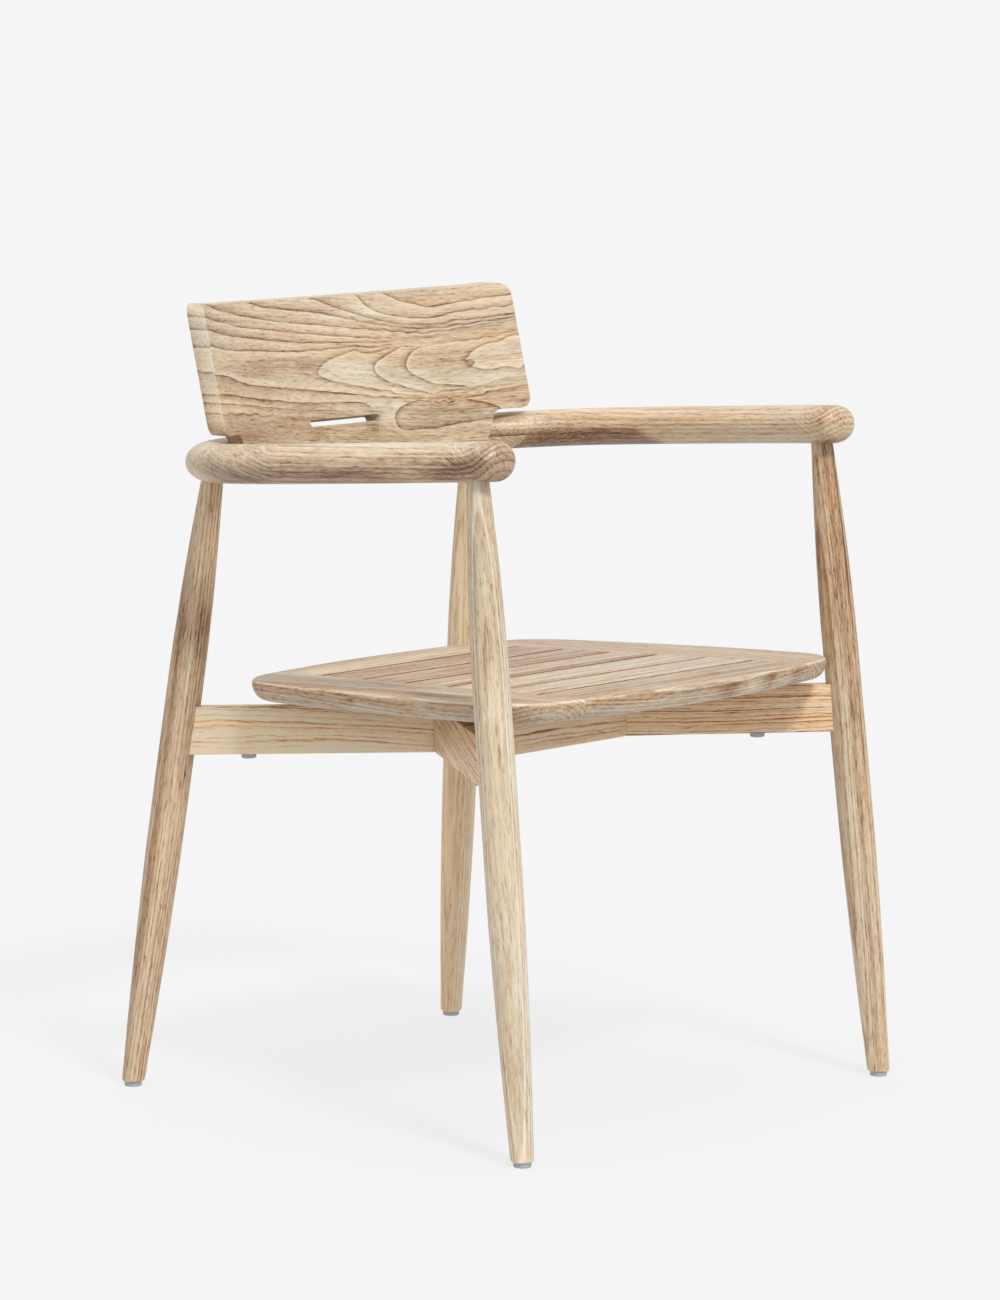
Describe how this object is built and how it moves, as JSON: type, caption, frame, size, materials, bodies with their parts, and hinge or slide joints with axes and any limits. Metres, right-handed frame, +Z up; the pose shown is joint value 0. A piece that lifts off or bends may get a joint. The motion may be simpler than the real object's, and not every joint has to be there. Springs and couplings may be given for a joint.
{
  "type": "armchair",
  "caption": "Low-back wooden armchair with turned splayed legs, a horseshoe arm rail, a bent backrest board with a hand slot, and a slatted seat.",
  "frame": {"origin": "on the floor, midway between the left and right feet and midway between the front and rear of the chair", "axes": "+Z up, the chair faces -Y, X runs across the chair and is its mirror axis (a sitter's right-hand side is -X)"},
  "size_m": [0.6094, 0.5651, 0.7889],
  "materials": {
    "teak": "light teak, oiled, satin",
    "seat_teak": "light teak, slightly greyed, matt",
    "frame_teak": "light teak, warm brown, matt",
    "grey_plastic": "matt grey",
    "steel": "plain"
  },
  "bodies": {
    "root": {"arm_left": "teak", "arm_right": "teak", "back_rail": "teak", "backrest_panel": "teak", "backrest_plug_left": "teak", "backrest_plug_right": "teak", "backrest_screw_left": "steel", "backrest_screw_right": "steel", "glide_front_left": "grey_plastic", "glide_front_right": "grey_plastic", "glide_rear_left": "grey_plastic", "glide_rear_right": "grey_plastic", "leg_front_left": "teak", "leg_front_right": "teak", "leg_rear_left": "teak", "leg_rear_right": "teak", "seat_batten_left": "frame_teak", "seat_batten_right": "frame_teak", "seat_front_rail": "seat_teak", "seat_rear_rail": "seat_teak", "seat_screw_front_left": "steel", "seat_screw_front_right": "steel", "seat_screw_rear_left": "steel", "seat_screw_rear_right": "steel", "seat_side_rail_left": "seat_teak", "seat_side_rail_right": "seat_teak", "seat_slat_1": "seat_teak", "seat_slat_2": "seat_teak", "seat_slat_3": "seat_teak", "seat_slat_4": "seat_teak", "seat_slat_5": "seat_teak", "stacking_bumper_front_left": "grey_plastic", "stacking_bumper_front_right": "grey_plastic", "stacking_bumper_rear_left": "grey_plastic", "stacking_bumper_rear_right": "grey_plastic", "underframe_arm_front_left": "frame_teak", "underframe_arm_front_right": "frame_teak", "underframe_arm_rear_left": "frame_teak", "underframe_arm_rear_right": "frame_teak", "underframe_front_rail": "frame_teak", "underframe_rear_rail": "frame_teak", "underframe_tongue_left": "frame_teak", "underframe_tongue_right": "frame_teak"}
  },
  "joints": []
}
